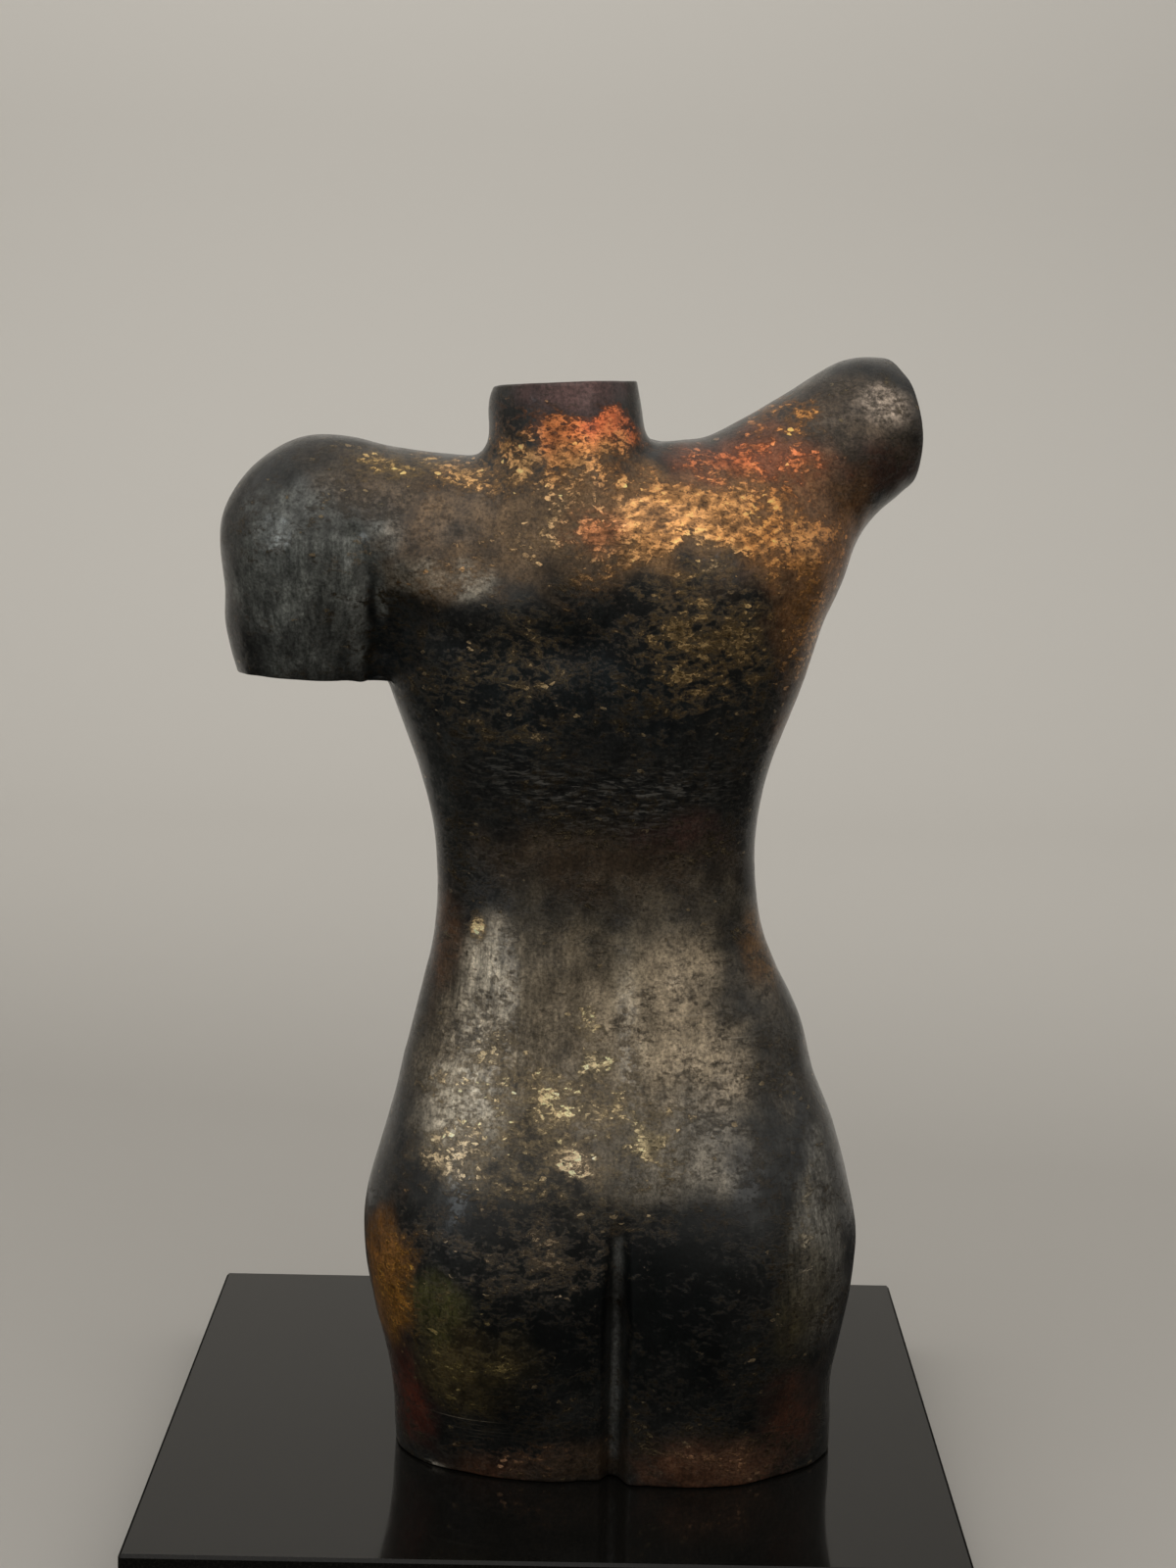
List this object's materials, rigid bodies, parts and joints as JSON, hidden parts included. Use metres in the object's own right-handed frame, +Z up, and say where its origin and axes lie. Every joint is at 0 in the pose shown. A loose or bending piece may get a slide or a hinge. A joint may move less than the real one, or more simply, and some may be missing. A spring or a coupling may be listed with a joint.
{
  "type": "torso sculpture",
  "caption": "Headless female torso in lacquered resin with one arm stub raised and one hanging, on a low square black plinth.",
  "frame": {"origin": "middle of the plinth's underside", "axes": "+Z up, the figure faces -Y, +X towards the figure's left side"},
  "size_m": [0.4, 0.4, 0.5975],
  "materials": {
    "lacquered_resin": "dark lacquer over broken gold, copper and orange-red leaf, glossy clear coat",
    "black_stone": "polished"
  },
  "bodies": {
    "root": {"torso": "lacquered_resin", "plinth": "black_stone"}
  },
  "joints": []
}
